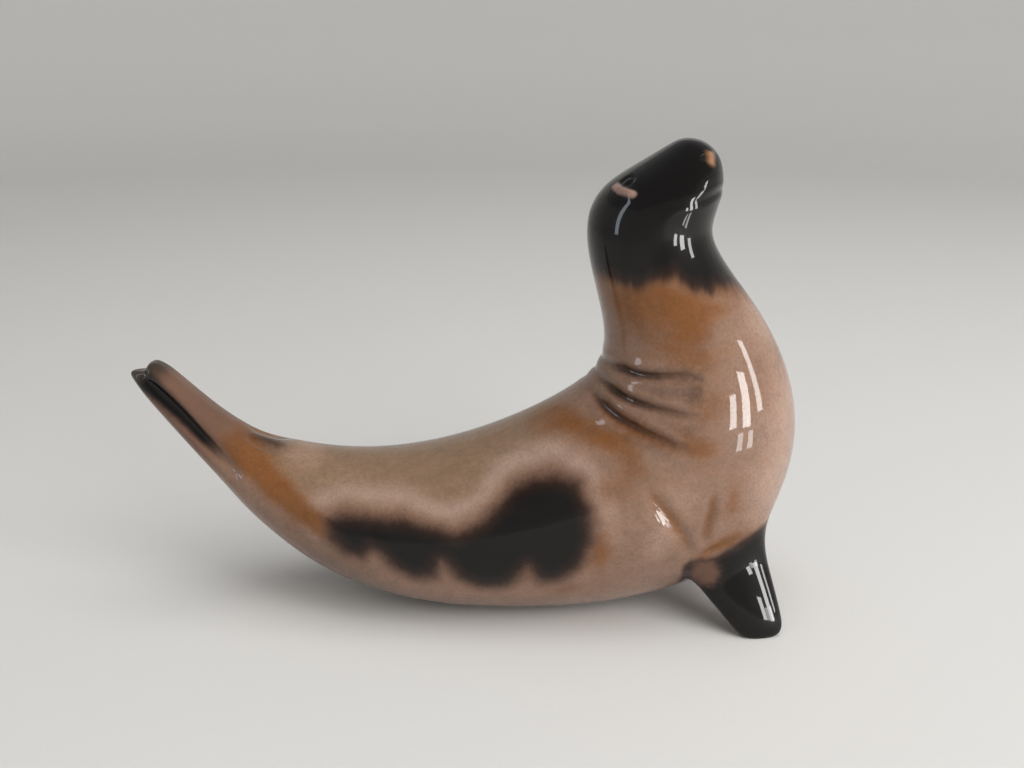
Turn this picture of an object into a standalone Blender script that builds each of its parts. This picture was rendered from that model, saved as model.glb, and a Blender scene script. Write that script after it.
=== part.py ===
"""A sea lion figurine, slip cast in one piece of white earthenware and glazed.

The animal looks along +X with its head raised, and rests on its belly and on the
tips of its two front flippers. Lengths are in metres, Z is up, and the plane Y = 0
divides the left half from the right.
"""

import math
from collections import namedtuple

import bmesh
import bpy
import numpy as np
from mathutils import Vector

# The whole figurine. All places below are shares of these: X of the length from the middle,
# Y of the width from the middle and Z of the height from the ground.
LENGTH = 0.1860
WIDTH = 0.0580
HEIGHT = 0.1330

# The trunk is a loft through these sections, from the hind flippers to the nose.
# back and belly are the section's ends in the side view, as (X, Z).
# dip lowers the middle of the back, and channel hollows the middle of each side.
# half_width, dip and channel are shares of the width.
Section = namedtuple("Section", "name back belly half_width dip channel")
SECTIONS = (
    Section("crotch", (-0.4409, 0.5256), (-0.4817, 0.4714), 0.1000, 0.0052, 0.0138),
    Section("hind flippers", (-0.4016, 0.4707), (-0.4478, 0.4105), 0.1172, 0.0, 0.0172),
    Section("tail", (-0.3661, 0.4241), (-0.4156, 0.3534), 0.1379, 0.0, 0.0172),
    Section("tail root", (-0.3296, 0.3895), (-0.3801, 0.2932), 0.1690, 0.0, 0.0069),
    Section("loin end", (-0.2984, 0.3714), (-0.3457, 0.2293), 0.2155, 0.0, 0.0),
    Section("loin", (-0.2570, 0.3549), (-0.3027, 0.1692), 0.2672, 0.0, 0.0),
    Section("hips", (-0.1978, 0.3398), (-0.2355, 0.0925), 0.3362, 0.0, 0.0),
    Section("waist", (-0.1226, 0.3368), (-0.1441, 0.0316), 0.4017, 0.0, 0.0),
    Section("belly", (-0.0339, 0.3571), (-0.0312, -0.0023), 0.4517, 0.0, 0.0),
    Section("ribs", (0.0495, 0.3970), (0.0871, -0.0075), 0.4707, 0.0, 0.0),
    Section("shoulder", (0.1247, 0.4474), (0.2161, 0.0), 0.4793, 0.0, 0.0),
    Section("nape foot", (0.1812, 0.5000), (0.3344, 0.0414), 0.4741, 0.0, 0.0),
    Section("breast", (0.2000, 0.5338), (0.4258, 0.1165), 0.4620, 0.0, 0.0),
    Section("lower chest", (0.2070, 0.5639), (0.4876, 0.2556), 0.4414, 0.0, 0.0),
    Section("chest", (0.2086, 0.5940), (0.5054, 0.3910), 0.4086, 0.0, 0.0),
    Section("upper chest", (0.2054, 0.6353), (0.4876, 0.5263), 0.3690, 0.0, 0.0),
    Section("neck", (0.1968, 0.6842), (0.4392, 0.6504), 0.3328, 0.0, 0.0),
    Section("throat", (0.1855, 0.7444), (0.3887, 0.7346), 0.3017, 0.0, 0.0),
    Section("skull foot", (0.1774, 0.8045), (0.3565, 0.8045), 0.2862, 0.0, 0.0),
    Section("skull", (0.1806, 0.8647), (0.3591, 0.8421), 0.2845, 0.0, 0.0),
    Section("brow", (0.2043, 0.9135), (0.3672, 0.8782), 0.2672, 0.0, 0.0),
    Section("cheek", (0.2473, 0.9489), (0.3704, 0.9068), 0.2276, 0.0, 0.0),
    Section("muzzle", (0.2833, 0.9797), (0.3699, 0.9293), 0.1862, 0.0, 0.0),
    Section("nose", (0.3048, 0.9985), (0.3661, 0.9579), 0.1345, 0.0, 0.0),
)
# The rounded nose past the last section, and the shares at which an end's inner points lie.
NOSE_BULGE = 0.0028
END_SPACING = 0.55
END_CROWN = 0.75

# The front flippers grow out of the breast and stand on their tips.
# A flipper's section is an oval round its centre, with its chord from the rear edge
# to the front one. These are (X, Y, Z) on the +Y side, and the thickness is a share of
# the width.
Oval = namedtuple("Oval", "rear front thickness")
FLIPPER_SECTION = "breast"
FLIPPER_OVALS = (
    Oval((0.3317, 0.3190, 0.1128), (0.4532, 0.2586, 0.1767), 0.1897),
    Oval((0.3575, 0.3793, 0.0752), (0.4640, 0.3190, 0.1165), 0.1466),
    Oval((0.3855, 0.4224, 0.0361), (0.4747, 0.3759, 0.0541), 0.1121),
    Oval((0.4102, 0.4517, -0.0045), (0.4812, 0.4138, 0.0045), 0.0793),
)
FLIPPER_TIP = 0.0015

# The hind flippers are cast together. They end in a short upper lobe and a longer, thinner
# lower one, past the first section. The end's rings lie at END_STEPS of the lobes.
UPPER_LOBE = 0.0040
LOWER_LOBE = 0.0070
LOBE_NOTCH = 0.0016
LOBE_BULGE = 0.0012
END_HEIGHT = 0.0088
END_WIDTH = 0.0100
END_STEPS = (0.5, 1.0)

# A crease is pressed into the surface along a line of points (X, Z) in the side view.
# depth and width are shares of the figurine's width, and a negative depth raises a ridge.
# The clay beside a crease swells by swell, a share of the depth. fade_in and fade_out are
# the shares of the line over which it begins and ends. outward keeps it off faces that
# look towards the plane Y = 0.
Crease = namedtuple("Crease", "name points depth width swell fade_in fade_out outward")
CREASES = (
    Crease("upper neck fold", ((0.1828, 0.5489), (0.2237, 0.5556), (0.2505, 0.5534),
           (0.2742, 0.5556), (0.3011, 0.5579), (0.3226, 0.5564), (0.3441, 0.5504)),
           0.0224, 0.0172, 0.25, 0.3, 0.2, False),
    Crease("middle neck fold", ((0.1828, 0.5308), (0.2081, 0.5173), (0.2285, 0.5060),
           (0.2575, 0.4962), (0.2860, 0.4895), (0.3172, 0.4820), (0.3495, 0.4729)),
           0.0241, 0.0172, 0.25, 0.3, 0.3, False),
    Crease("lower neck fold", ((0.1720, 0.5098), (0.1978, 0.4865), (0.2177, 0.4699),
           (0.2435, 0.4549), (0.2753, 0.4368), (0.3075, 0.4180), (0.3387, 0.4000)),
           0.0224, 0.0190, 0.25, 0.3, 0.32, False),
    Crease("shoulder arc", ((0.2516, 0.3504), (0.2677, 0.3256), (0.2882, 0.2910),
           (0.3043, 0.2609), (0.3167, 0.2331), (0.3258, 0.2030), (0.3312, 0.1692)),
           0.0155, 0.0276, 0.2, 0.3, 0.2, True),
    Crease("armpit", ((0.3570, 0.3383), (0.3565, 0.2932), (0.3511, 0.2459), (0.3441, 0.1992)),
           0.0172, 0.0207, 0.2, 0.3, 0.2, True),
    Crease("flipper root", ((0.3306, 0.1429), (0.3548, 0.1805), (0.3871, 0.1992),
           (0.4274, 0.2068)),
           0.0103, 0.0259, 0.2, 0.3, 0.3, True),
    Crease("mouth", ((0.3737, 0.9068), (0.3548, 0.9023), (0.3280, 0.8917), (0.2930, 0.8842)),
           0.0034, 0.0138, 0.5, 0.2, 0.4, False),
    Crease("lower eyelid", ((0.2151, 0.9128), (0.2204, 0.9090), (0.2290, 0.9053),
           (0.2430, 0.9015)),
           -0.0138, 0.0172, 0.0, 0.35, 0.25, True),
    Crease("nostril rim", ((0.3435, 0.9812), (0.3446, 0.9692), (0.3446, 0.9564)),
           -0.0086, 0.0155, 0.0, 0.35, 0.35, True),
    Crease("nostril", ((0.3349, 0.9782), (0.3344, 0.9692), (0.3349, 0.9609)),
           0.0103, 0.0138, 0.0, 0.3, 0.3, True),
    Crease("hind flipper channel", ((-0.5011, 0.5353), (-0.4634, 0.4940), (-0.4258, 0.4421),
           (-0.3978, 0.3985), (-0.3688, 0.3564), (-0.3419, 0.3218), (-0.3290, 0.3068)),
           0.0345, 0.0397, 0.1, 0.0, 0.45, True),
    Crease("tail crease", ((-0.3441, 0.4030), (-0.3306, 0.3910), (-0.3188, 0.3797),
           (-0.3065, 0.3714), (-0.2930, 0.3647), (-0.2769, 0.3594), (-0.2608, 0.3571)),
           0.0190, 0.0172, 0.08, 0.3, 0.35, False),
)
CREASE_STEPS = 80
SWELL_OFFSET = 2.4
OUTWARD_STEEPNESS = 2.5

# A swelling lifts the surface round a place (X, Z) in the side view. Its radius and height
# are shares of the width.
Swelling = namedtuple("Swelling", "name place radius height")
SWELLINGS = (
    Swelling("shoulder", (0.2608, 0.2346), 0.1638, 0.0259),
    Swelling("whisker pad", (0.3387, 0.9368), 0.0690, 0.0121),
    Swelling("jaw", (0.3118, 0.8887), 0.0897, 0.0155),
)

# An eye is a ball in a shallow socket. Its place is (X, Z) in the side view.
EYE = (0.2306, 0.9233)
EYE_RADIUS = 0.0016
SOCKET_WIDTH = 0.0006
SOCKET_DEPTH = 0.0004

# The vent under the belly let the slip drain. Nothing else opens the casting's hollow, so
# the body stays solid behind it.
VENT_DIAMETER = 0.0070
VENT_DEPTH = 0.0090
VENT_X = 0.0070
VENT_SEGMENTS = 24

RING_POINTS = 16
HALF = RING_POINTS // 2
SMOOTH_LEVELS = 4
TRIANGLES = 11200
MERGE = 0.00005

# A ring of straight edges shrinks by this share when it is subdivided.
SPREAD = 6 / (4 + 2 * math.cos(2 * math.pi / RING_POINTS))

GLAZE_COLOUR = (0.42, 0.27, 0.17, 1.0)
GLAZE_ROUGHNESS = 0.08


def clear_scene():
    for thing in list(bpy.data.objects):
        bpy.data.objects.remove(thing)


def new_collection(name):
    collection = bpy.data.collections.new(name)
    bpy.context.scene.collection.children.link(collection)
    return collection


def link(mesh, name, collection):
    thing = bpy.data.objects.new(name, mesh)
    collection.objects.link(thing)
    return thing


def side_point(share):
    return Vector((share[0] * LENGTH, 0, share[1] * HEIGHT))


def side_line(shares):
    return np.array(shares) * (LENGTH, HEIGHT)


def full_point(share):
    return Vector((share[0] * LENGTH, share[1] * WIDTH, share[2] * HEIGHT))


def section_axes(section):
    """The middle of a section, its direction up, and its cage's half height and half width."""
    back = side_point(section.back)
    belly = side_point(section.belly)
    up = (back - belly).normalized()
    reach = (back - belly).length / 2 * SPREAD
    return (back + belly) / 2, up, reach, section.half_width * WIDTH * SPREAD


def ring_points(section):
    """The half ring of a section on the +Y side, from the back to the belly."""
    middle, up, reach, width = section_axes(section)
    points = []
    for k in range(HALF + 1):
        angle = math.pi * k / HALF
        rise = reach * math.cos(angle)
        out = width * math.sin(angle)
        if k == 0:
            rise -= section.dip * WIDTH
        if k == HALF // 2:
            out -= section.channel * WIDTH
        points.append(middle + up * rise + Vector((0, out, 0)))
    return points


def add_ring(bm, points):
    return [bm.verts.new(point) for point in points]


def bridge(bm, ring, following, closed=False):
    """Quads from one row of vertices to the next, facing out for rings that run to the head."""
    count = len(ring)
    for k in range(count if closed else count - 1):
        after = (k + 1) % count
        bm.faces.new((ring[k], following[k], following[after], ring[after]))


def grid(bm, rows):
    """Quads between rows of equal length."""
    for row, following in zip(rows, rows[1:]):
        for k in range(len(row) - 1):
            bm.faces.new((row[k], row[k + 1], following[k + 1], following[k]))


def close_end(bm, ring, crowns):
    """Two by four quads inside a half ring, whose inner points stand out by the crowns."""
    top = ring[0].co
    bottom = ring[-1].co
    middle = (top + bottom) / 2
    up = (top - bottom) / 2
    out = Vector((0, END_SPACING * ring[HALF // 2].co.y, 0))
    inner = [ring[0]]
    second = [ring[1]]
    for rise, crown in zip((END_SPACING, 0.0, -END_SPACING), crowns):
        inner.append(bm.verts.new(middle + up * rise + crown))
        second.append(bm.verts.new(middle + up * rise + out + crown * END_CROWN))
    inner.append(ring[-1])
    second.append(ring[-2])
    grid(bm, (inner, second, ring[2:-2]))


def add_nose(bm, ring):
    along = ring[0].co - ring[-1].co
    ahead = Vector((along.z, 0, -along.x)).normalized()
    side = ahead * NOSE_BULGE * (1 - END_SPACING**2)
    close_end(bm, ring, (side, ahead * NOSE_BULGE, side))


def add_front_flipper(bm, rings):
    """Replaces two by two quads of the trunk's side with a flipper that reaches the ground."""
    at = [section.name for section in SECTIONS].index(FLIPPER_SECTION)
    low = HALF - 2
    around = (
        rings[at + 1][low],
        rings[at + 1][low - 1],
        rings[at][low - 1],
        rings[at - 1][low - 1],
        rings[at - 1][low],
        rings[at - 1][low + 1],
        rings[at][low + 1],
        rings[at + 1][low + 1],
    )
    bmesh.ops.delete(bm, geom=[rings[at][low]], context="VERTS")
    middles = [(full_point(oval.rear) + full_point(oval.front)) / 2 for oval in FLIPPER_OVALS]
    loop = list(around)
    for k, oval in enumerate(FLIPPER_OVALS):
        span = middles[k] - middles[0] if k else middles[1] - middles[0]
        following = add_ring(bm, oval_points(oval, span))
        bridge(bm, following, loop, closed=True)
        loop = following
    last = (middles[-1] - middles[-2]).normalized()
    tip = bm.verts.new(middles[-1] + last * FLIPPER_TIP)
    rows = (
        (loop[3], loop[2], loop[1]),
        (loop[4], tip, loop[0]),
        (loop[5], loop[6], loop[7]),
    )
    grid(bm, rows)


def oval_points(oval, span):
    """Eight points round a flipper's section, from its front edge by way of its outer face."""
    rear = full_point(oval.rear)
    front = full_point(oval.front)
    chord = (front - rear) / 2
    middle = (rear + front) / 2
    out = span.cross(chord).normalized() * oval.thickness * WIDTH / 2
    if out.y < 0:
        out.negate()
    points = []
    for k in range(8):
        angle = math.pi * k / 4
        points.append(middle + chord * math.cos(angle) + out * math.sin(angle))
    return points


def add_tail_end(bm, ring):
    """The joined ends of the hind flippers, with a notch between their two lobes."""
    middle, up, start_height, start_width = section_axes(SECTIONS[0])
    away = Vector((-up.z, 0, up.x))
    loop = ring
    for share in END_STEPS:
        height = start_height + (END_HEIGHT / 2 - start_height) * share
        width = start_width + (END_WIDTH / 2 - start_width) * share
        points = []
        for k in range(HALF + 1):
            angle = math.pi * k / HALF
            rise = math.cos(angle)
            length = LOWER_LOBE + (UPPER_LOBE - LOWER_LOBE) * (rise + 1) / 2
            length -= LOBE_NOTCH * (1 - abs(rise)) * share
            spot = middle + up * rise * height + away * length * share
            points.append(spot + Vector((0, width * math.sin(angle), 0)))
        following = add_ring(bm, points)
        bridge(bm, loop, following)
        loop = following
    close_end(bm, loop, (away * LOBE_BULGE, -away * LOBE_NOTCH, away * LOBE_BULGE))


def half_cage():
    """The cage of the left half, open at the plane Y = 0."""
    bm = bmesh.new()
    rings = [add_ring(bm, ring_points(section)) for section in SECTIONS]
    for ring, following in zip(rings, rings[1:]):
        bridge(bm, ring, following)
    add_nose(bm, rings[-1])
    add_front_flipper(bm, rings)
    add_tail_end(bm, rings[0])
    bmesh.ops.recalc_face_normals(bm, faces=bm.faces)
    mesh = bpy.data.meshes.new("cage")
    bm.to_mesh(mesh)
    bm.free()
    return mesh


def smooth_body(cage):
    """The whole smooth surface of the half cage, as a mesh of its own."""
    thing = link(cage, "cage", bpy.context.scene.collection)
    mirror = thing.modifiers.new("mirror", "MIRROR")
    mirror.use_axis = (False, True, False)
    mirror.use_clip = True
    mirror.merge_threshold = MERGE
    smooth = thing.modifiers.new("smooth", "SUBSURF")
    smooth.levels = SMOOTH_LEVELS
    smooth.render_levels = SMOOTH_LEVELS
    graph = bpy.context.evaluated_depsgraph_get()
    mesh = bpy.data.meshes.new_from_object(thing.evaluated_get(graph))
    bpy.data.objects.remove(thing)
    return mesh


def smooth_step(value):
    clipped = np.clip(value, 0.0, 1.0)
    return clipped * clipped * (3 - 2 * clipped)


def through(points, steps):
    """Points spaced evenly in number along a Catmull-Rom curve through the given ones."""
    given = side_line(points)
    padded = np.vstack((2 * given[0] - given[1], given, 2 * given[-1] - given[-2]))
    curve = []
    for place in np.linspace(0, len(given) - 1, steps):
        k = min(int(place), len(given) - 2)
        t = place - k
        before, start, end, after = padded[k : k + 4]
        curve.append(
            0.5
            * (
                2 * start
                + (end - before) * t
                + (2 * before - 5 * start + 4 * end - after) * t * t
                + (3 * start - 3 * end + after - before) * t**3
            )
        )
    return np.array(curve)


def outwardness(places, normals):
    """One where the surface looks away from the plane Y = 0, and zero where it looks at it."""
    return smooth_step(OUTWARD_STEEPNESS * normals[:, 1] * np.sign(places[:, 1]))


def crease_rise(crease, places, normals):
    """How far each vertex moves along its normal for one crease."""
    line = through(crease.points, CREASE_STEPS)
    side = places[:, (0, 2)]
    gaps = np.linalg.norm(side[:, None, :] - line[None, :, :], axis=2)
    nearest = gaps.argmin(axis=1)
    gap = gaps[np.arange(len(gaps)), nearest] / (crease.width * WIDTH)
    share = nearest / (CREASE_STEPS - 1)
    strength = np.ones(len(side))
    if crease.fade_in:
        strength *= smooth_step(share / crease.fade_in)
    if crease.fade_out:
        strength *= smooth_step((1 - share) / crease.fade_out)
    if crease.outward:
        strength *= outwardness(places, normals)
    profile = crease.swell * np.exp(-((gap - SWELL_OFFSET) ** 2)) - np.exp(-(gap**2))
    return crease.depth * WIDTH * strength * profile


def swelling_rise(swelling, places, normals):
    gap = np.linalg.norm(places[:, (0, 2)] - side_line(swelling.place), axis=1)
    bump = np.exp(-((gap / (swelling.radius * WIDTH)) ** 2))
    return swelling.height * WIDTH * outwardness(places, normals) * bump


def on_surface(spot, places, normals):
    """The vertex on the +Y side that lies nearest a place in the side view."""
    gaps = np.linalg.norm(places[:, (0, 2)] - side_line(spot), axis=1)
    gaps[(places[:, 1] < 0) | (normals[:, 1] < 0)] = 1.0
    return places[gaps.argmin()]


def on_left(places):
    """The same places, with those of the right half mirrored to the left one."""
    return places * (1, 0, 1) + np.abs(places) * (0, 1, 0)


def eye_rise(places, normals):
    centre = on_surface(EYE, places, normals)
    radius = np.linalg.norm(on_left(places) - centre, axis=1)
    return -SOCKET_DEPTH * np.exp(-(((radius - EYE_RADIUS) / SOCKET_WIDTH) ** 2))


def press_relief(mesh):
    """Moves the vertices of a smooth surface in and out for its folds, lids and nostrils."""
    count = len(mesh.vertices)
    places = np.empty(3 * count)
    normals = np.empty(3 * count)
    mesh.vertices.foreach_get("co", places)
    mesh.vertices.foreach_get("normal", normals)
    places = places.reshape(count, 3)
    normals = normals.reshape(count, 3)
    rise = eye_rise(places, normals)
    for crease in CREASES:
        rise += crease_rise(crease, places, normals)
    for swelling in SWELLINGS:
        rise += swelling_rise(swelling, places, normals)
    moved = places + normals * rise[:, None]
    mesh.vertices.foreach_set("co", moved.ravel())
    mesh.update()


def add_cutter(bm, name, collection):
    mesh = bpy.data.meshes.new(name)
    bm.to_mesh(mesh)
    bm.free()
    cutter = link(mesh, name, collection)
    cutter.hide_render = True
    cutter.display_type = "WIRE"
    return cutter


def vent_cutter(collection):
    """A round bar that reaches up into the belly by the vent's depth, and as far down."""
    bm = bmesh.new()
    bmesh.ops.create_cone(
        bm,
        cap_ends=True,
        segments=VENT_SEGMENTS,
        radius1=VENT_DIAMETER / 2,
        radius2=VENT_DIAMETER / 2,
        depth=VENT_DEPTH * 2,
    )
    bmesh.ops.translate(bm, vec=(VENT_X, 0, 0), verts=bm.verts)
    return add_cutter(bm, "vent", collection)


def ground_cutter(collection):
    """A slab whose upper face is the plane that the figurine stands on."""
    bm = bmesh.new()
    bmesh.ops.create_cube(bm, size=1)
    bmesh.ops.scale(bm, vec=(2 * LENGTH, 2 * WIDTH, HEIGHT), verts=bm.verts)
    bmesh.ops.translate(bm, vec=(0, 0, -HEIGHT / 2), verts=bm.verts)
    return add_cutter(bm, "ground", collection)


def cut(body, cutter):
    modifier = body.modifiers.new(f"without {cutter.name}", "BOOLEAN")
    modifier.operation = "DIFFERENCE"
    modifier.object = cutter


def glaze():
    material = bpy.data.materials.new("glazed ceramic")
    material.use_nodes = True
    shader = material.node_tree.nodes["Principled BSDF"]
    shader.inputs["Base Color"].default_value = GLAZE_COLOUR
    shader.inputs["Roughness"].default_value = GLAZE_ROUGHNESS
    shader.inputs["Metallic"].default_value = 0.0
    return material


def main():
    clear_scene()
    parts = new_collection("seal figurine")
    cutters = new_collection("cutters")
    surface = smooth_body(half_cage())
    press_relief(surface)
    surface.shade_smooth()
    surface.materials.append(glaze())
    body = link(surface, "seal_figurine", parts)
    thin = body.modifiers.new("fewer triangles", "DECIMATE")
    thin.ratio = TRIANGLES / (2 * len(surface.polygons))
    thin.use_symmetry = True
    thin.symmetry_axis = "Y"
    cut(body, vent_cutter(cutters))
    cut(body, ground_cutter(cutters))


if __name__ == "__main__":
    main()
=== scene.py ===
"""The glazed sea lion figurine on a pale studio floor.

The body has the same sections, creases and flippers as its solid, with a finer surface.
Lengths are in metres, Z is up, and the animal looks along +X.
"""

import math
from collections import namedtuple

import bmesh
import bpy
import numpy as np
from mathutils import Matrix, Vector
from mathutils.bvhtree import BVHTree
from mathutils.interpolate import poly_3d_calc


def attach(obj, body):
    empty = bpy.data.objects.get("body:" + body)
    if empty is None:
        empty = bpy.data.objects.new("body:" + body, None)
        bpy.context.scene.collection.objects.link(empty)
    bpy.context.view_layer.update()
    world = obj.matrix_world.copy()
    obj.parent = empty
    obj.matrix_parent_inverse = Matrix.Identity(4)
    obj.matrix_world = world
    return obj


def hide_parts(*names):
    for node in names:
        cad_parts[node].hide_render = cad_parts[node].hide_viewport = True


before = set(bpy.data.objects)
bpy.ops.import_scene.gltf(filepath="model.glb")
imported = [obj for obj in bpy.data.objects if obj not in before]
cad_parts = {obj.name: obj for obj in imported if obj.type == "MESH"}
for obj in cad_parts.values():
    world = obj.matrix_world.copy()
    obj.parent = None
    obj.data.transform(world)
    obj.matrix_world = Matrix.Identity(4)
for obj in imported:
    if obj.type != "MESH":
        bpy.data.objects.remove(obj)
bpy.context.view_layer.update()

# The whole figurine. All places below are shares of these: X of the length from the middle,
# Y of the width from the middle and Z of the height from the ground.
LENGTH = 0.1860
WIDTH = 0.0580
HEIGHT = 0.1330

# The trunk is a loft through these sections, from the hind flippers to the nose.
# back and belly are the section's ends in the side view, as (X, Z).
# dip lowers the middle of the back, and channel hollows the middle of each side.
# half_width, dip and channel are shares of the width.
Section = namedtuple("Section", "name back belly half_width dip channel")
SECTIONS = (
    Section("crotch", (-0.4409, 0.5256), (-0.4817, 0.4714), 0.1000, 0.0052, 0.0138),
    Section("hind flippers", (-0.4016, 0.4707), (-0.4478, 0.4105), 0.1172, 0.0, 0.0172),
    Section("tail", (-0.3661, 0.4241), (-0.4156, 0.3534), 0.1379, 0.0, 0.0172),
    Section("tail root", (-0.3296, 0.3895), (-0.3801, 0.2932), 0.1690, 0.0, 0.0069),
    Section("loin end", (-0.2984, 0.3714), (-0.3457, 0.2293), 0.2155, 0.0, 0.0),
    Section("loin", (-0.2570, 0.3549), (-0.3027, 0.1692), 0.2672, 0.0, 0.0),
    Section("hips", (-0.1978, 0.3398), (-0.2355, 0.0925), 0.3362, 0.0, 0.0),
    Section("waist", (-0.1226, 0.3368), (-0.1441, 0.0316), 0.4017, 0.0, 0.0),
    Section("belly", (-0.0339, 0.3571), (-0.0312, -0.0023), 0.4517, 0.0, 0.0),
    Section("ribs", (0.0495, 0.3970), (0.0871, -0.0075), 0.4707, 0.0, 0.0),
    Section("shoulder", (0.1247, 0.4474), (0.2161, 0.0), 0.4793, 0.0, 0.0),
    Section("nape foot", (0.1812, 0.5000), (0.3344, 0.0414), 0.4741, 0.0, 0.0),
    Section("breast", (0.2000, 0.5338), (0.4258, 0.1165), 0.4620, 0.0, 0.0),
    Section("lower chest", (0.2070, 0.5639), (0.4876, 0.2556), 0.4414, 0.0, 0.0),
    Section("chest", (0.2086, 0.5940), (0.5054, 0.3910), 0.4086, 0.0, 0.0),
    Section("upper chest", (0.2054, 0.6353), (0.4876, 0.5263), 0.3690, 0.0, 0.0),
    Section("neck", (0.1968, 0.6842), (0.4392, 0.6504), 0.3328, 0.0, 0.0),
    Section("throat", (0.1855, 0.7444), (0.3887, 0.7346), 0.3017, 0.0, 0.0),
    Section("skull foot", (0.1774, 0.8045), (0.3565, 0.8045), 0.2862, 0.0, 0.0),
    Section("skull", (0.1806, 0.8647), (0.3591, 0.8421), 0.2845, 0.0, 0.0),
    Section("brow", (0.2043, 0.9135), (0.3672, 0.8782), 0.2672, 0.0, 0.0),
    Section("cheek", (0.2473, 0.9489), (0.3704, 0.9068), 0.2276, 0.0, 0.0),
    Section("muzzle", (0.2833, 0.9797), (0.3699, 0.9293), 0.1862, 0.0, 0.0),
    Section("nose", (0.3048, 0.9985), (0.3661, 0.9579), 0.1345, 0.0, 0.0),
)
# The rounded nose past the last section, and the shares at which an end's inner points lie.
NOSE_BULGE = 0.0028
END_SPACING = 0.55
END_CROWN = 0.75

# The front flippers grow out of the breast and stand on their tips.
# A flipper's section is an oval round its centre, with its chord from the rear edge
# to the front one. These are (X, Y, Z) on the +Y side, and the thickness is a share of
# the width.
Oval = namedtuple("Oval", "rear front thickness")
FLIPPER_SECTION = "breast"
FLIPPER_OVALS = (
    Oval((0.3317, 0.3190, 0.1128), (0.4532, 0.2586, 0.1767), 0.1897),
    Oval((0.3575, 0.3793, 0.0752), (0.4640, 0.3190, 0.1165), 0.1466),
    Oval((0.3855, 0.4224, 0.0361), (0.4747, 0.3759, 0.0541), 0.1121),
    Oval((0.4102, 0.4517, -0.0045), (0.4812, 0.4138, 0.0045), 0.0793),
)
FLIPPER_TIP = 0.0015

# The hind flippers are cast together. They end in a short upper lobe and a longer, thinner
# lower one, past the first section. The end's rings lie at END_STEPS of the lobes.
UPPER_LOBE = 0.0040
LOWER_LOBE = 0.0070
LOBE_NOTCH = 0.0016
LOBE_BULGE = 0.0012
END_HEIGHT = 0.0088
END_WIDTH = 0.0100
END_STEPS = (0.5, 1.0)

# A crease is pressed into the surface along a line of points (X, Z) in the side view.
# depth and width are shares of the figurine's width, and a negative depth raises a ridge.
# The clay beside a crease swells by swell, a share of the depth. fade_in and fade_out are
# the shares of the line over which it begins and ends. outward keeps it off faces that
# look towards the plane Y = 0.
Crease = namedtuple("Crease", "name points depth width swell fade_in fade_out outward")
CREASES = (
    Crease("upper neck fold", ((0.1828, 0.5489), (0.2237, 0.5556), (0.2505, 0.5534),
           (0.2742, 0.5556), (0.3011, 0.5579), (0.3226, 0.5564), (0.3441, 0.5504)),
           0.0224, 0.0172, 0.25, 0.3, 0.2, False),
    Crease("middle neck fold", ((0.1828, 0.5308), (0.2081, 0.5173), (0.2285, 0.5060),
           (0.2575, 0.4962), (0.2860, 0.4895), (0.3172, 0.4820), (0.3495, 0.4729)),
           0.0241, 0.0172, 0.25, 0.3, 0.3, False),
    Crease("lower neck fold", ((0.1720, 0.5098), (0.1978, 0.4865), (0.2177, 0.4699),
           (0.2435, 0.4549), (0.2753, 0.4368), (0.3075, 0.4180), (0.3387, 0.4000)),
           0.0224, 0.0190, 0.25, 0.3, 0.32, False),
    Crease("shoulder arc", ((0.2516, 0.3504), (0.2677, 0.3256), (0.2882, 0.2910),
           (0.3043, 0.2609), (0.3167, 0.2331), (0.3258, 0.2030), (0.3312, 0.1692)),
           0.0155, 0.0276, 0.2, 0.3, 0.2, True),
    Crease("armpit", ((0.3570, 0.3383), (0.3565, 0.2932), (0.3511, 0.2459), (0.3441, 0.1992)),
           0.0172, 0.0207, 0.2, 0.3, 0.2, True),
    Crease("flipper root", ((0.3306, 0.1429), (0.3548, 0.1805), (0.3871, 0.1992),
           (0.4274, 0.2068)),
           0.0103, 0.0259, 0.2, 0.3, 0.3, True),
    Crease("mouth", ((0.3737, 0.9068), (0.3548, 0.9023), (0.3280, 0.8917), (0.2930, 0.8842)),
           0.0034, 0.0138, 0.5, 0.2, 0.4, False),
    Crease("lower eyelid", ((0.2151, 0.9128), (0.2204, 0.9090), (0.2290, 0.9053),
           (0.2430, 0.9015)),
           -0.0138, 0.0172, 0.0, 0.35, 0.25, True),
    Crease("nostril rim", ((0.3435, 0.9812), (0.3446, 0.9692), (0.3446, 0.9564)),
           -0.0086, 0.0155, 0.0, 0.35, 0.35, True),
    Crease("nostril", ((0.3349, 0.9782), (0.3344, 0.9692), (0.3349, 0.9609)),
           0.0103, 0.0138, 0.0, 0.3, 0.3, True),
    Crease("hind flipper channel", ((-0.5011, 0.5353), (-0.4634, 0.4940), (-0.4258, 0.4421),
           (-0.3978, 0.3985), (-0.3688, 0.3564), (-0.3419, 0.3218), (-0.3290, 0.3068)),
           0.0345, 0.0397, 0.1, 0.0, 0.45, True),
    Crease("tail crease", ((-0.3441, 0.4030), (-0.3306, 0.3910), (-0.3188, 0.3797),
           (-0.3065, 0.3714), (-0.2930, 0.3647), (-0.2769, 0.3594), (-0.2608, 0.3571)),
           0.0190, 0.0172, 0.08, 0.3, 0.35, False),
)
CREASE_STEPS = 80
SWELL_OFFSET = 2.4
OUTWARD_STEEPNESS = 2.5

# A swelling lifts the surface round a place (X, Z) in the side view. Its radius and height
# are shares of the width.
Swelling = namedtuple("Swelling", "name place radius height")
SWELLINGS = (
    Swelling("shoulder", (0.2608, 0.2346), 0.1638, 0.0259),
    Swelling("whisker pad", (0.3387, 0.9368), 0.0690, 0.0121),
    Swelling("jaw", (0.3118, 0.8887), 0.0897, 0.0155),
)

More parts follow.
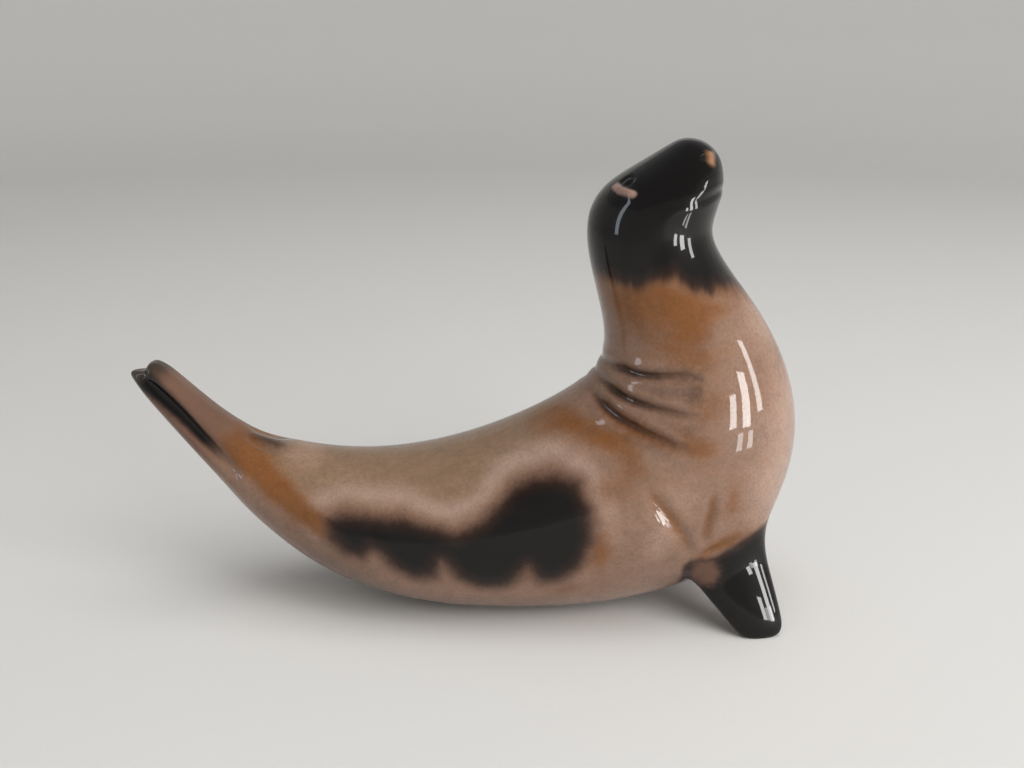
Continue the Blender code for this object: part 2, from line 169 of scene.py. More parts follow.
# An eye is a ball in a shallow socket. Its place is (X, Z) in the side view.
EYE = (0.2306, 0.9233)
EYE_RADIUS = 0.0016
SOCKET_WIDTH = 0.0006
SOCKET_DEPTH = 0.0004

# The vent under the belly let the slip drain. Nothing else opens the casting's hollow, so
# the body stays solid behind it.
VENT_DIAMETER = 0.0070
VENT_DEPTH = 0.0090
VENT_X = 0.0070

RING_POINTS = 16
HALF = RING_POINTS // 2
OVAL_POINTS = 8
SMOOTH_LEVELS = 4
MERGE = 0.00005
# Farther than any two places on the figurine.
FAR = 1.0

# A ring of straight edges shrinks by this share when it is subdivided.
SPREAD = 6 / (4 + 2 * math.cos(2 * math.pi / RING_POINTS))


def link(mesh, name, collection):
    thing = bpy.data.objects.new(name, mesh)
    collection.objects.link(thing)
    return thing


def side_point(share):
    return Vector((share[0] * LENGTH, 0, share[1] * HEIGHT))


def side_line(shares):
    return np.array(shares) * (LENGTH, HEIGHT)


def full_point(share):
    return Vector((share[0] * LENGTH, share[1] * WIDTH, share[2] * HEIGHT))


def section_axes(section):
    """The middle of a section, its direction up, and its cage's half height and half width."""
    back = side_point(section.back)
    belly = side_point(section.belly)
    up = (back - belly).normalized()
    reach = (back - belly).length / 2 * SPREAD
    return (back + belly) / 2, up, reach, section.half_width * WIDTH * SPREAD


def ring_points(section):
    """The half ring of a section on the +Y side, from the back to the belly."""
    middle, up, reach, width = section_axes(section)
    points = []
    for k in range(HALF + 1):
        angle = math.pi * k / HALF
        rise = reach * math.cos(angle)
        out = width * math.sin(angle)
        if k == 0:
            rise -= section.dip * WIDTH
        if k == HALF // 2:
            out -= section.channel * WIDTH
        points.append(middle + up * rise + Vector((0, out, 0)))
    return points


def add_ring(bm, points):
    return [bm.verts.new(point) for point in points]


def bridge(bm, ring, following, closed=False):
    """Quads from one row of vertices to the next, facing out for rings that run to the head."""
    count = len(ring)
    for k in range(count if closed else count - 1):
        after = (k + 1) % count
        bm.faces.new((ring[k], following[k], following[after], ring[after]))


def grid(bm, rows):
    """Quads between rows of equal length."""
    for row, following in zip(rows, rows[1:]):
        for k in range(len(row) - 1):
            bm.faces.new((row[k], row[k + 1], following[k + 1], following[k]))


def close_end(bm, ring, crowns):
    """Two by four quads inside a half ring, whose inner points stand out by the crowns."""
    top = ring[0].co
    bottom = ring[-1].co
    middle = (top + bottom) / 2
    up = (top - bottom) / 2
    out = Vector((0, END_SPACING * ring[HALF // 2].co.y, 0))
    inner = [ring[0]]
    second = [ring[1]]
    for rise, crown in zip((END_SPACING, 0.0, -END_SPACING), crowns):
        inner.append(bm.verts.new(middle + up * rise + crown))
        second.append(bm.verts.new(middle + up * rise + out + crown * END_CROWN))
    inner.append(ring[-1])
    second.append(ring[-2])
    grid(bm, (inner, second, ring[2:-2]))


def add_nose(bm, ring):
    along = ring[0].co - ring[-1].co
    ahead = Vector((along.z, 0, -along.x)).normalized()
    side = ahead * NOSE_BULGE * (1 - END_SPACING**2)
    close_end(bm, ring, (side, ahead * NOSE_BULGE, side))


def add_front_flipper(bm, rings):
    """Replaces two by two quads of the trunk's side with a flipper that reaches the ground."""
    at = [section.name for section in SECTIONS].index(FLIPPER_SECTION)
    low = HALF - 2
    around = (
        rings[at + 1][low],
        rings[at + 1][low - 1],
        rings[at][low - 1],
        rings[at - 1][low - 1],
        rings[at - 1][low],
        rings[at - 1][low + 1],
        rings[at][low + 1],
        rings[at + 1][low + 1],
    )
    bmesh.ops.delete(bm, geom=[rings[at][low]], context="VERTS")
    middles = [(full_point(oval.rear) + full_point(oval.front)) / 2 for oval in FLIPPER_OVALS]
    loop = list(around)
    for k, oval in enumerate(FLIPPER_OVALS):
        span = middles[k] - middles[0] if k else middles[1] - middles[0]
        following = add_ring(bm, oval_points(oval, span))
        bridge(bm, following, loop, closed=True)
        loop = following
    last = (middles[-1] - middles[-2]).normalized()
    tip = bm.verts.new(middles[-1] + last * FLIPPER_TIP)
    rows = (
        (loop[3], loop[2], loop[1]),
        (loop[4], tip, loop[0]),
        (loop[5], loop[6], loop[7]),
    )
    grid(bm, rows)


def oval_points(oval, span):
    """Points round a flipper's section, from its front edge by way of its outer face."""
    rear = full_point(oval.rear)
    front = full_point(oval.front)
    chord = (front - rear) / 2
    middle = (rear + front) / 2
    out = span.cross(chord).normalized() * oval.thickness * WIDTH / 2
    if out.y < 0:
        out.negate()
    points = []
    for k in range(OVAL_POINTS):
        angle = 2 * math.pi * k / OVAL_POINTS
        points.append(middle + chord * math.cos(angle) + out * math.sin(angle))
    return points


def add_tail_end(bm, ring):
    """The joined ends of the hind flippers, with a notch between their two lobes."""
    middle, up, start_height, start_width = section_axes(SECTIONS[0])
    away = Vector((-up.z, 0, up.x))
    loop = ring
    for share in END_STEPS:
        height = start_height + (END_HEIGHT / 2 - start_height) * share
        width = start_width + (END_WIDTH / 2 - start_width) * share
        points = []
        for k in range(HALF + 1):
            angle = math.pi * k / HALF
            rise = math.cos(angle)
            length = LOWER_LOBE + (UPPER_LOBE - LOWER_LOBE) * (rise + 1) / 2
            length -= LOBE_NOTCH * (1 - abs(rise)) * share
            spot = middle + up * rise * height + away * length * share
            points.append(spot + Vector((0, width * math.sin(angle), 0)))
        following = add_ring(bm, points)
        bridge(bm, loop, following)
        loop = following
    close_end(bm, loop, (away * LOBE_BULGE, -away * LOBE_NOTCH, away * LOBE_BULGE))


def half_cage():
    """The cage of the left half, open at the plane Y = 0."""
    bm = bmesh.new()
    rings = [add_ring(bm, ring_points(section)) for section in SECTIONS]
    for ring, following in zip(rings, rings[1:]):
        bridge(bm, ring, following)
    add_nose(bm, rings[-1])
    add_front_flipper(bm, rings)
    add_tail_end(bm, rings[0])
    bmesh.ops.recalc_face_normals(bm, faces=bm.faces)
    mesh = bpy.data.meshes.new("cage")
    bm.to_mesh(mesh)
    bm.free()
    return mesh


def smooth_body(cage):
    """The whole smooth surface of the half cage, as a mesh of its own."""
    thing = link(cage, "cage", bpy.context.scene.collection)
    mirror = thing.modifiers.new("mirror", "MIRROR")
    mirror.use_axis = (False, True, False)
    mirror.use_clip = True
    mirror.merge_threshold = MERGE
    smooth = thing.modifiers.new("smooth", "SUBSURF")
    smooth.levels = SMOOTH_LEVELS
    smooth.render_levels = SMOOTH_LEVELS
    graph = bpy.context.evaluated_depsgraph_get()
    mesh = bpy.data.meshes.new_from_object(thing.evaluated_get(graph))
    bpy.data.objects.remove(thing)
    return mesh


def smooth_step(value):
    clipped = np.clip(value, 0.0, 1.0)
    return clipped * clipped * (3 - 2 * clipped)


def through(points, steps):
    """Points spaced evenly in number along a Catmull-Rom curve through the given ones."""
    given = side_line(points)
    padded = np.vstack((2 * given[0] - given[1], given, 2 * given[-1] - given[-2]))
    curve = []
    for place in np.linspace(0, len(given) - 1, steps):
        k = min(int(place), len(given) - 2)
        t = place - k
        before, start, end, after = padded[k : k + 4]
        curve.append(
            0.5
            * (
                2 * start
                + (end - before) * t
                + (2 * before - 5 * start + 4 * end - after) * t * t
                + (3 * start - 3 * end + after - before) * t**3
            )
        )
    return np.array(curve)


def outwardness(places, normals):
    """One where the surface looks away from the plane Y = 0, and zero where it looks at it."""
    return smooth_step(OUTWARD_STEEPNESS * normals[:, 1] * np.sign(places[:, 1]))


def crease_rise(crease, places, normals):
    """How far each vertex moves along its normal for one crease."""
    line = through(crease.points, CREASE_STEPS)
    side = places[:, (0, 2)]
    gaps = np.linalg.norm(side[:, None, :] - line[None, :, :], axis=2)
    nearest = gaps.argmin(axis=1)
    gap = gaps[np.arange(len(gaps)), nearest] / (crease.width * WIDTH)
    share = nearest / (CREASE_STEPS - 1)
    strength = np.ones(len(side))
    if crease.fade_in:
        strength *= smooth_step(share / crease.fade_in)
    if crease.fade_out:
        strength *= smooth_step((1 - share) / crease.fade_out)
    if crease.outward:
        strength *= outwardness(places, normals)
    profile = crease.swell * np.exp(-((gap - SWELL_OFFSET) ** 2)) - np.exp(-(gap**2))
    return crease.depth * WIDTH * strength * profile


def swelling_rise(swelling, places, normals):
    gap = np.linalg.norm(places[:, (0, 2)] - side_line(swelling.place), axis=1)
    bump = np.exp(-((gap / (swelling.radius * WIDTH)) ** 2))
    return swelling.height * WIDTH * outwardness(places, normals) * bump


def on_surface(spot, places, normals):
    """The vertex on the +Y side that lies nearest a place in the side view."""
    gaps = np.linalg.norm(places[:, (0, 2)] - side_line(spot), axis=1)
    gaps[(places[:, 1] < 0) | (normals[:, 1] < 0)] = FAR
    return places[gaps.argmin()]


def on_left(places):
    """The same places, with those of the right half mirrored to the left one."""
    return places * (1, 0, 1) + np.abs(places) * (0, 1, 0)


def eye_rise(places, normals):
    centre = on_surface(EYE, places, normals)
    radius = np.linalg.norm(on_left(places) - centre, axis=1)
    return -SOCKET_DEPTH * np.exp(-(((radius - EYE_RADIUS) / SOCKET_WIDTH) ** 2))


def press_relief(mesh):
    """Moves the vertices of a smooth surface in and out for its folds, lids and nostrils."""
    count = len(mesh.vertices)
    places = np.empty(3 * count)
    normals = np.empty(3 * count)
    mesh.vertices.foreach_get("co", places)
    mesh.vertices.foreach_get("normal", normals)
    places = places.reshape(count, 3)
    normals = normals.reshape(count, 3)
    rise = eye_rise(places, normals)
    for crease in CREASES:
        rise += crease_rise(crease, places, normals)
    for swelling in SWELLINGS:
        rise += swelling_rise(swelling, places, normals)
    moved = places + normals * rise[:, None]
    mesh.vertices.foreach_set("co", moved.ravel())
    mesh.update()


# The paint is laid on in the side view. Its places and widths are in millimetres.
MM = 1000

# The outline of the sprayed flank patch, as (X, Z).
PATCH = (
    (-37.0, 32.7), (-32.3, 34.5), (-24.8, 33.9), (-17.1, 33.9), (-8.3, 32.0), (-2.1, 31.1),
    (4.6, 34.0), (10.0, 38.4), (13.2, 42.8), (18.0, 45.4), (24.7, 47.3), (30.7, 45.2),
    (33.3, 39.0), (34.0, 30.7), (31.5, 22.9), (26.2, 18.5), (20.8, 17.8), (17.2, 23.0),
    (14.6, 18.6), (11.3, 16.0), (4.5, 15.5), (-0.9, 18.3), (-4.6, 23.1), (-6.2, 23.9),
    (-8.0, 19.0), (-13.3, 17.8), (-18.7, 20.5), (-22.6, 24.8), (-24.8, 26.1),
    (-27.8, 22.7), (-32.5, 23.7), (-36.0, 27.3),
)
# A pale halo runs round the patch, HALO_GAP outside it. It sets in over HALO_RISE above this
# line through the patch's middle.
PATCH_MIDDLE = ((-60.0, 20.0), (-10.0, 24.0), (34.0, 33.0), (60.0, 36.0))
HALO_GAP = 5.2
HALO_WIDTH = 2.3
HALO_RISE = 12.0

# The lower edge of the dark hood, as (X, Z).
HOOD_EDGE = (
    (33.0, 97.6), (36.4, 97.8), (41.2, 97.2), (45.6, 96.2), (48.5, 97.4), (50.9, 98.6),
    (54.8, 99.6), (58.8, 97.0), (64.2, 95.6), (68.6, 95.5), (75.6, 94.1), (90.0, 92.0),
)

# A front flipper is dark below this line, as (X, Z), ahead of PAW_START and farther out than
# PAW_SIDE. PAW_SLOPE sharpens the last two limits.
PAW_EDGE = ((56.0, 17.0), (61.6, 22.7), (66.1, 22.3), (71.9, 25.4), (79.8, 29.4), (90.0, 33.0))
PAW_START = 60.0
PAW_SIDE = 11.0
PAW_SLOPE = 1.5

# Where the tail begins, and the way that it points.
TAIL_ROOT = (-62.0, 47.0)
TAIL_WAY = (-0.70, 0.71)

# The greyer back sets in over BACK_SOFTNESS where its normal's Z passes BACK_TILT, and it
# fades out towards the head, over BACK_FADE up to BACK_END.
BACK_TILT = 0.35
BACK_SOFTNESS = 0.5
BACK_END = 32.0
BACK_FADE = 14.0

# The parts of the lower eyelid and of the nostril's rim that are painted, as shares.
LID_PART = (0.0, 0.8)
RIM_PART = (0.2, 0.8)

# Soft clouds in the side view: (X, Z, half length, half width, slope in degrees, strength).
# The rust and pale ones are sprayed on.
RUST_CLOUDS = (
    (-58.0, 45.5, 9.0, 3.6, -35, 0.85), (-63.0, 50.0, 5.0, 3.4, -45, 0.7),
    (-47.0, 36.5, 11.0, 3.6, -30, 0.85), (-38.0, 30.0, 6.0, 3.4, -25, 0.6),
    (22.0, 57.5, 8.0, 2.6, 18, 0.45), (34.0, 58.0, 9.0, 3.4, -5, 0.75),
    (44.0, 52.0, 6.0, 4.0, -50, 0.6), (42.0, 45.0, 6.0, 4.0, 0, 0.5),
    (37.5, 42.0, 2.8, 8.0, 5, 0.35), (36.5, 27.0, 3.0, 9.0, 5, 0.40),
    (27.5, 14.0, 6.0, 2.6, 10, 0.45), (18.0, 20.0, 2.0, 3.0, 0, 0.5),
    (52.0, 94.5, 9.0, 4.5, -10, 0.95), (60.0, 89.0, 6.0, 5.5, -30, 0.80),
    (44.0, 92.5, 6.0, 4.5, 0, 0.6), (68.0, 91.5, 5.0, 2.6, 0, 0.45),
    (52.0, 83.0, 10.0, 6.0, -20, 0.45), (62.0, 77.0, 7.0, 5.0, 0, 0.35),
    (60.5, 57.5, 8.0, 4.5, -25, 0.55), (64.0, 66.0, 4.5, 5.0, 0, 0.45),
    (71.0, 27.5, 8.0, 2.4, 20, 0.85), (72.0, 41.0, 3.0, 6.0, 0, 0.45),
    (58.0, 30.0, 2.4, 8.0, 18, 0.35), (-6.5, 15.0, 3.0, 3.0, 0, 0.3),
)
PALE_CLOUDS = (
    (60.0, 42.0, 7.0, 5.0, 0, 0.35), (52.5, 30.0, 7.0, 8.0, 0, 0.45),
    (45.0, 8.0, 22.0, 6.0, 8, 0.45), (38.0, 40.0, 3.0, 8.0, 10, 0.6),
    (88.0, 60.0, 7.0, 30.0, -8, 0.85), (79.0, 86.0, 9.0, 7.0, -55, 0.6),
    (80.0, 40.0, 9.0, 9.0, 0, 0.4), (-45.0, 46.0, 8.0, 2.5, -5, 0.4),
    (76.0, 60.0, 6.0, 8.0, 0, 0.2), (20.0, 62.0, 8.0, 3.0, 20, 0.2),
    (20.0, 52.0, 12.0, 3.0, 25, 0.3),
)
# These are painted shade: under the belly, on the lower flank, at the nape and on the tail
# near its root. They make the body duller, whatever its colour.
PAINTED_SHADE_CLOUDS = (
    (-35.0, 14.0, 22.0, 9.0, -38, 0.9), (36.0, 84.0, 4.0, 20.0, 0, 0.5),
    (-8.0, 3.0, 40.0, 7.0, 0, 0.5), (-70.0, 52.0, 10.0, 10.0, 0, 0.3),
)
# These darken the neck round its folds to the pooled glaze's colour, on faces that look
# outward.
DARK_CLOUDS = (
    (60.8, 70.0, 2.8, 6.5, -6, 0.45), (56.0, 71.5, 6.0, 3.0, 0, 0.22),
    (53.0, 69.5, 7.0, 2.6, -5, 0.35), (58.0, 60.5, 5.0, 3.0, -20, 0.30),
    (40.0, 70.0, 7.0, 4.5, -20, 0.25),
)

# Glaze pools along creases, strength deep and width to each side. It begins and ends over the
# share ends of the line, and it loses the share thinning on the way to the line's end, over
# THINNING_LENGTH from THINNING_START.
Pool = namedtuple("Pool", "crease strength width ends thinning")
NECK_FOLDS = ("upper neck fold", "middle neck fold", "lower neck fold")
DARK_POOLS = (
    *(Pool(name, 1.0, 1.6, 0.25, 0.55) for name in NECK_FOLDS),
    *(Pool(name, 0.45, 3.8, 0.25, 0.0) for name in NECK_FOLDS),
    Pool("tail crease", 0.8, 1.1, 0.3, 0.0),
)
RUST_POOLS = (
    *(Pool(name, 0.55, 1.9, 0.25, 0.0) for name in ("shoulder arc", "armpit", "flipper root")),
    Pool("lower neck fold", 0.7, 2.6, 0.3, 0.0),
)
THINNING_START = 0.3
THINNING_LENGTH = 0.5

# Colours of the glaze, as linear red, green and blue.
TAN = (0.265, 0.158, 0.110)
OLIVE = (0.218, 0.142, 0.086)
PALE = (0.44, 0.295, 0.230)
HALO = (0.42, 0.300, 0.245)
RUST = (0.195, 0.078, 0.026)
POOLED = (0.052, 0.026, 0.017)
TIP = (0.050, 0.035, 0.026)
SEPIA = (0.036, 0.016, 0.010)
BLACK = (0.0040, 0.0032, 0.0030)
UMBER = (0.132, 0.068, 0.046)
LID = (0.300, 0.185, 0.150)
NOSTRIL_TAN = (0.330, 0.172, 0.090)
BISQUE = (0.66, 0.61, 0.54)

# Noises that break up the colours. scale is per metre, and stretch is along X, Y and Z.
Noise = namedtuple("Noise", "scale detail stretch shift")
EVEN = (1.0, 1.0, 1.0)
CLOUD = Noise(38, 2.0, EVEN, 0.3)
SWEEP = Noise(120, 3.0, (0.4, 1.0, 1.0), 0.7)
MOTTLE = Noise(95, 3.0, EVEN, 0.0)
GRAIN = Noise(270, 4.0, EVEN, 0.45)
FINE = Noise(620, 3.0, EVEN, 0.5)
SPECK = Noise(1500, 2.0, EVEN, 0.9)
POOL_WAVE = Noise(130, 2.0, (0.35, 1.0, 1.0), 0.1)
PATCH_WAVE = Noise(110, 3.0, EVEN, 0.2)
PATCH_SPECK = Noise(1300, 2.0, EVEN, 0.4)
HOOD_STREAK = Noise(380, 3.0, (1.0, 1.0, 0.14), 0.2)
HOOD_WAVE = Noise(90, 2.0, (1.0, 1.0, 0.6), 0.8)
PAW_WAVE = Noise(130, 3.0, EVEN, 0.6)
TIP_WAVE = Noise(150, 2.0, EVEN, 0.5)
GLAZE_WAVE = Noise(95, 1.0, EVEN, 0.6)
PAPER_GRAIN = Noise(900, 2.0, EVEN, 0.0)
NOISE_SHIFT = (1.0, 0.7, -1.0)
NOISE_RANGE = 4.0

# How much of each noise is added to an area's value before its layers are laid.
BACK_NOISE = ((CLOUD, 0.16),)
PALE_NOISE = ((MOTTLE, 0.16), (SPECK, 0.05))
HALO_NOISE = ((SWEEP, 0.24),)
RUST_NOISE = ((SWEEP, 0.20), (MOTTLE, 0.22), (FINE, 0.16))
SHADE_NOISE = ((GRAIN, 0.08), (MOTTLE, 0.05), (FINE, 0.08), (SPECK, 0.12))
POOL_NOISE = ((POOL_WAVE, 0.07), (FINE, 0.12))
PATCH_NOISE = ((PATCH_WAVE, 0.75), (FINE, 0.30), (PATCH_SPECK, 0.25))
HOOD_NOISE = ((HOOD_STREAK, 1.0), (HOOD_WAVE, 1.2))
PAW_NOISE = ((PAW_WAVE, 0.8),)
THIN_NOISE = ((FINE, 0.0007), (PAW_WAVE, 0.0009))
TIP_NOISE = ((TIP_WAVE, 1.0),)
CHANNEL_NOISE = ((FINE, 0.12),)
LID_NOISE = ((FINE, 0.10),)
RIM_NOISE = ((FINE, 0.25),)
CLAY_NOISE = ((FINE, 0.06),)
CLAY_EDGE_NOISE = ((FINE, 0.00003),)
PAPER_NOISE = ((PAPER_GRAIN, 0.008),)

# Layers of colour over an area. Each sets in where the area's value passes start, and has its
# strength where it passes full.
Layer = namedtuple("Layer", "colour start full strength")
PALE_LAYERS = (Layer(PALE, 0.02, 1.15, 1.0),)
RUST_LAYERS = (Layer(RUST, 0.02, 1.05, 1.0),)
POOL_LAYERS = (Layer(POOLED, 0.05, 1.05, 1.0),)
PATCH_LAYERS = (
    Layer(UMBER, -4.6, -0.5, 0.55),
    Layer(SEPIA, -3.0, 2.0, 1.0),
    Layer(BLACK, -1.6, 4.6, 1.0),
)
HOOD_LAYERS = (
    Layer(RUST, -5.5, 0.5, 0.6),
    Layer(SEPIA, -2.4, 2.0, 1.0),
    Layer(BLACK, -0.8, 5.0, 1.0),
)
PAW_LAYERS = (Layer(SEPIA, -1.6, 1.0, 1.0),)
THIN_PAW_LAYERS = (Layer(UMBER, -0.6, 1.5, 1.0),)
THICK_PAW_LAYERS = (Layer(BLACK, 0.2, 3.2, 1.0),)
TAIL_LAYERS = (Layer(UMBER, -1.0, 12.0, 0.75),)
TIP_LAYERS = (Layer(TIP, 27.0, 34.0, 1.0),)
# The channel's black is partly dark glaze and partly painted shade in the groove.
CHANNEL_GLAZE_AND_SHADE_LAYERS = (Layer(BLACK, 1.6, 0.5, 1.0),)
LID_LAYERS = (Layer(LID, 1.6, 0.5, 1.0),)
PUPIL_LAYERS = (Layer(BLACK, 1.75, 1.25, 1.0),)

BACK_STRENGTH = 0.8
HALO_STRENGTH = 0.50
RUST_STRENGTH = 1.25
# How dark the painted shade makes the body.
PAINTED_SHADE_STRENGTH = 0.42
RIM_RANGE = (2.4, 0.0)
RIM_POWER = 1.6

# The glaze is thin round this place at the rear of a front flipper's root, as (X, Z) in metres.
THIN_PLACE = (0.0660, 0.0185)
THIN_RANGE = (0.0058, 0.0020)
THICK_RANGE = (0.0024, 0.0064)

# The hind flippers' black channel, partly dark glaze and partly painted shade in the groove
# between their lobes: its half width at the tail's root, how much it gains per millimetre, and
# where along the tail it sets in and ends.
CHANNEL_WIDTH = 0.75
CHANNEL_GAIN = 0.062
CHANNEL_START = (1.0, 11.0)
CHANNEL_END = (36.0, 32.0)

# Bare clay shows in the vent, within these shares of its diameter and of its depth.
CLAY_ACROSS = (0.53, 0.51)
CLAY_UP = (1.3, 1.2)

# The colours lie under a clear glossy coat, with the faint unevenness of a glaze.
GLAZE_ROUGHNESS = 0.42
CLAY_ROUGHNESS = 0.82
GLAZE_LOOK = {"Coat Roughness": 0.03, "Coat IOR": 1.34, "Specular IOR Level": 0.05}
BUMP_STRENGTH = 0.04
BUMP_DISTANCE = 0.0004

# The surface is thinned to about this many triangles. It keeps the dense surface's normals
# where it lies within SURFACE_GAP of it and above FOOT_HEIGHT, which is where it is cut.
FINE_TRIANGLES = 190000
SURFACE_GAP = 0.0001
FOOT_HEIGHT = 0.0001
VENT_SIDES = 48
RIDGE_STEPS = 16
# This keeps a level edge of an outline from a division by zero.
LEVEL = 1e-12


def fine_body():
    """The figurine's surface with its relief, cut flat where it stands, and its vent."""
    surface = smooth_body(half_cage())
    press_relief(surface)
    surface.shade_smooth()
    places = vertex_values(surface.vertices, "co", 3)
    places[:, 2] = np.maximum(places[:, 2], 0.0)
    surface.vertices.foreach_set("co", places.ravel())
    surface.update()
    thing = link(surface, "surface", bpy.context.scene.collection)
    thin = thing.modifiers.new("fewer triangles", "DECIMATE")
    thin.ratio = FINE_TRIANGLES / (2 * len(surface.polygons))
    thin.use_symmetry = True
    thin.symmetry_axis = "Y"
    cutter = vent_bar()
    hole = thing.modifiers.new("vent", "BOOLEAN")
    hole.operation = "DIFFERENCE"
    hole.object = cutter
    graph = bpy.context.evaluated_depsgraph_get()
    mesh = bpy.data.meshes.new_from_object(thing.evaluated_get(graph))
    keep_normals(mesh, surface)
    bpy.data.objects.remove(thing)
    bpy.data.objects.remove(cutter)
    return mesh


def keep_normals(mesh, surface):
    """Gives the thinner mesh the smooth normals of the dense surface that it came from."""
    surface.calc_loop_triangles()
    normals = vertex_values(surface.vertices, "normal", 3)
    corners = vertex_values(surface.vertices, "co", 3)
    triangles = [tuple(triangle.vertices) for triangle in surface.loop_triangles]
    tree = BVHTree.FromPolygons([Vector(corner) for corner in corners], triangles)
    kept = []
    for vertex in mesh.vertices:
        place, _, index, gap = tree.find_nearest(vertex.co)
        if gap > SURFACE_GAP or place.z < FOOT_HEIGHT:
            kept.append((0.0, 0.0, 0.0))
            continue
        a, b, c = triangles[index]
        shares = poly_3d_calc([Vector(corners[k]) for k in (a, b, c)], place)
        kept.append(shares[0] * normals[a] + shares[1] * normals[b] + shares[2] * normals[c])
    mesh.normals_split_custom_set_from_vertices(kept)


def vent_bar():
    """A round bar that cuts the vent, from below the ground up to the vent's depth."""
    bm = bmesh.new()
    bmesh.ops.create_cone(
        bm,
        cap_ends=True,
        segments=VENT_SIDES,
        radius1=VENT_DIAMETER / 2,
        radius2=VENT_DIAMETER / 2,
        depth=VENT_DEPTH * 2,
    )
    bmesh.ops.translate(bm, vec=(VENT_X, 0, 0), verts=bm.verts)
    mesh = bpy.data.meshes.new("vent")
    bm.to_mesh(mesh)
    bm.free()
    return link(mesh, "vent", bpy.context.scene.collection)


def vertex_values(collection, name, width):
    values = np.empty(width * len(collection))
    collection.foreach_get(name, values)
    return values.reshape(-1, width)


def segment_gaps(places, start, end):
    """How far each place lies from a straight segment."""
    along = end - start
    share = np.clip(((places - start) @ along) / (along @ along), 0, 1)
    return np.linalg.norm(places - start - share[:, None] * along, axis=1)


def edge_distance(side, outline):
    """How far each place lies from a closed outline, as a negative value outside it."""
    corners = np.array(outline)
    gaps = []
    inside = np.zeros(len(side), bool)
    for start, end in zip(corners, np.roll(corners, -1, axis=0)):
        gaps.append(segment_gaps(side, start, end))
        crosses = (start[1] > side[:, 1]) != (end[1] > side[:, 1])
        rise = (side[:, 1] - start[1]) / (end[1] - start[1] + LEVEL)
        inside ^= crosses & (side[:, 0] < start[0] + rise * (end[0] - start[0]))
    return np.where(inside, 1, -1) * np.min(gaps, axis=0)


def above(side, line):
    """How far each place lies above a line from left to right."""
    points = np.array(line)
    return side[:, 1] - np.interp(side[:, 0], points[:, 0], points[:, 1])


def clouds(side, spots):
    """The sum of soft clouds in the side view, from 0 to 1."""
    total = np.zeros(len(side))
    for x, z, reach_along, reach_across, slope, strength in spots:
        turn = math.radians(slope)
        gap = side - (x, z)
        along = gap @ (math.cos(turn), math.sin(turn)) / reach_along
        across = gap @ (-math.sin(turn), math.cos(turn)) / reach_across
        total += strength * np.exp(-(along**2) - across**2)
    return np.clip(total, 0, 1)


def crease_named(name):
    return next(crease for crease in CREASES if crease.name == name)


def line_gap(places, crease):
    """How far each place lies from a crease in the side view, and its share of the line."""
    line = through(crease.points, CREASE_STEPS)
    gaps = np.linalg.norm(places[:, (0, 2)][:, None, :] - line[None, :, :], axis=2)
    nearest = gaps.argmin(axis=1)
    return gaps[np.arange(len(gaps)), nearest] * MM, nearest / (CREASE_STEPS - 1)


def pooled(places, normals, pools):
    """How much glaze has pooled along the creases, from 0 to 1."""
    most = np.zeros(len(places))
    for pool in pools:
        crease = crease_named(pool.crease)
        gap, share = line_gap(places, crease)
        strength = pool.strength * smooth_step(share / pool.ends)
        strength *= smooth_step((1 - share) / pool.ends)
        strength *= 1 - pool.thinning * smooth_step((share - THINNING_START) / THINNING_LENGTH)
        if crease.outward:
            strength *= outwardness(places, normals)
        most = np.maximum(most, strength * np.exp(-((gap / pool.width) ** 2)))
    return most


def ridge_distance(places, normals, name, part):
    """How far each place lies from part of a raised crease's crest."""
    line = through(crease_named(name).points, RIDGE_STEPS) / (LENGTH, HEIGHT)
    first, last = (round(share * RIDGE_STEPS) for share in part)
    crest = [on_surface(spot, places, normals) for spot in line[first:last]]
    left = on_left(places)
    gaps = [segment_gaps(left, start, end) for start, end in zip(crest, crest[1:])]
    return np.min(gaps, axis=0) * MM


def paw_distance(places, side):
    """How far each place lies inside the dark part of a front flipper."""
    ahead = PAW_SLOPE * (side[:, 0] - PAW_START)
    outside = PAW_SLOPE * (np.abs(places[:, 1]) * MM - PAW_SIDE)
    return np.minimum(-above(side, PAW_EDGE), np.minimum(ahead, outside))


def paint(mesh):
    """Writes what each vertex has of each sprayed or pooled area and of the painted shade,
    as attributes.
    """
    places = vertex_values(mesh.vertices, "co", 3)
    normals = vertex_values(mesh.vertices, "normal", 3)
    side = places[:, (0, 2)] * MM
    dark = clouds(side, DARK_CLOUDS) * outwardness(places, normals)
    patch = edge_distance(side, PATCH)
    halo = np.exp(-(((patch + HALO_GAP) / HALO_WIDTH) ** 2))
    back = smooth_step((normals[:, 2] - BACK_TILT) / BACK_SOFTNESS)
    eye = on_surface(EYE, places, normals)
    areas = {
        "dark": np.maximum(dark, pooled(places, normals, DARK_POOLS)),
        "rust": np.maximum(clouds(side, RUST_CLOUDS), pooled(places, normals, RUST_POOLS)),
        "pale": clouds(side, PALE_CLOUDS),
        # Painted shade under the belly, on the lower flank, at the nape and on the tail.
        "painted_shade": clouds(side, PAINTED_SHADE_CLOUDS),
        "patch": patch,
        "halo": halo * smooth_step(above(side, PATCH_MIDDLE) / HALO_RISE),
        "hood": above(side, HOOD_EDGE),
        "paw": paw_distance(places, side),
        "tail": (side - TAIL_ROOT) @ TAIL_WAY,
        "channel": line_gap(places, crease_named("hind flipper channel"))[0],
        "back": back * smooth_step((BACK_END - side[:, 0]) / BACK_FADE),
        "lid": ridge_distance(places, normals, "lower eyelid", LID_PART),
        "rim": ridge_distance(places, normals, "nostril rim", RIM_PART),
        "eye": np.linalg.norm(on_left(places) - eye, axis=1) * MM,
    }
    for name, values in areas.items():
        attribute = mesh.attributes.new(name, "FLOAT", "POINT")
        attribute.data.foreach_set("value", np.asarray(values, np.float32))


# The mix node's sockets for its factor and its two colours, and the one for its colour.
MIX_INPUTS = (0, 6, 7)
MIX_RESULT = 2


